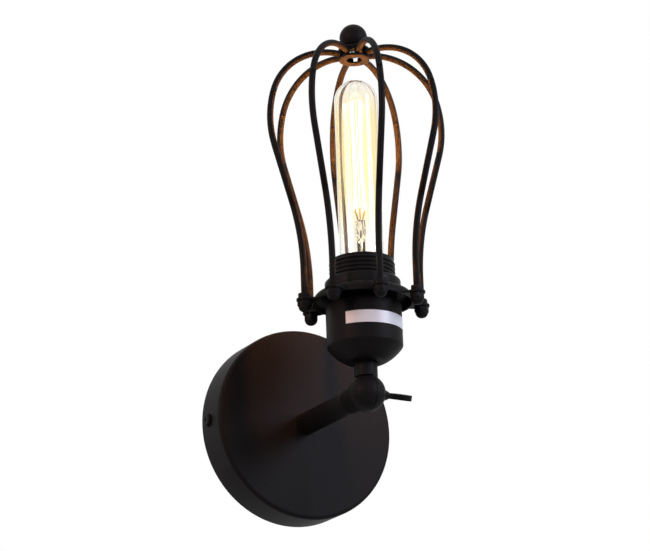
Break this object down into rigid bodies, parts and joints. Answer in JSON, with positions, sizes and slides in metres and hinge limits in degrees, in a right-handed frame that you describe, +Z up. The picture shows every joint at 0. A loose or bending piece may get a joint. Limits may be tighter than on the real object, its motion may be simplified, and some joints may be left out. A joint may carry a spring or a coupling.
{
  "type": "cage wall light",
  "caption": "Adjustable wall light: round wall plate, short arm, ball knuckle and a dome cage of bent wires round a clear tubular bulb.",
  "frame": {"origin": "centre of the wall plate, on the wall", "axes": "+Z up along the upright head, +Y into the wall, +X to the thumb screw's side"},
  "size_m": [0.1248, 0.1555, 0.2996],
  "materials": {
    "black_steel": "satin black powder coat",
    "black_holder": "satin black",
    "zinc_steel": "bright zinc",
    "brass": "plain",
    "terminal_plastic": "matt",
    "holder_ceramic": "unglazed",
    "lead_sleeve": "matt",
    "clear_glass": "clear",
    "nickel_cap": "nickel plate",
    "cap_glass": "black glass",
    "support_metal": "plain wire",
    "filament_metal": "glowing"
  },
  "bodies": {
    "base": {"wall_plate": "black_steel", "mounting_bar": "zinc_steel", "side_screws": "black_steel", "earth_screw": "brass", "terminal_block": "terminal_plastic", "terminal_screws": "brass", "arm_tube": "black_steel", "arm_washer": "zinc_steel", "arm_lock_nut": "zinc_steel", "arm_leads": "lead_sleeve", "knuckle_base": "black_steel", "knuckle_cap": "black_steel"},
    "thumb": {"thumb_screw": "black_steel"},
    "head": {"knuckle_tongue": "black_steel", "neck_nipple": "zinc_steel", "neck_nut": "zinc_steel", "neck_leads": "lead_sleeve", "socket_cup": "black_steel", "holder_base": "holder_ceramic", "centre_contact": "brass", "screw_shell": "brass", "holder_screws": "zinc_steel", "holder_barrel": "black_holder", "shade_ring": "black_holder", "cage_base": "black_steel", "cage_hex_nuts": "black_steel", "cage_dome_nuts": "black_steel", "crown_ring": "black_steel", "crown_disc": "black_steel", "finial_screw": "zinc_steel", "finial_ball": "black_steel", "bulb_glass": "clear_glass", "bulb_cap": "nickel_cap", "bulb_insulator": "cap_glass", "bulb_contact": "brass", "bulb_stem": "clear_glass", "support_wires": "support_metal", "filament": "filament_metal", "cage_wire_1": "black_steel", "cage_wire_2": "black_steel", "cage_wire_3": "black_steel", "cage_wire_4": "black_steel", "cage_wire_5": "black_steel", "cage_wire_6": "black_steel", "cage_wire_7": "black_steel", "cage_wire_8": "black_steel"}
  },
  "joints": [
    {"name": "head_tilt", "type": "hinge", "parent": "base", "child": "head", "pos_m": [0, -0.1, 0], "axis": [1, 0, 0], "range_deg": [-12, 192]},
    {"name": "thumb_screw_turn", "type": "hinge", "parent": "base", "child": "thumb", "pos_m": [0, -0.1, 0], "axis": [1, 0, 0], "range_deg": [-180, 180]}
  ]
}
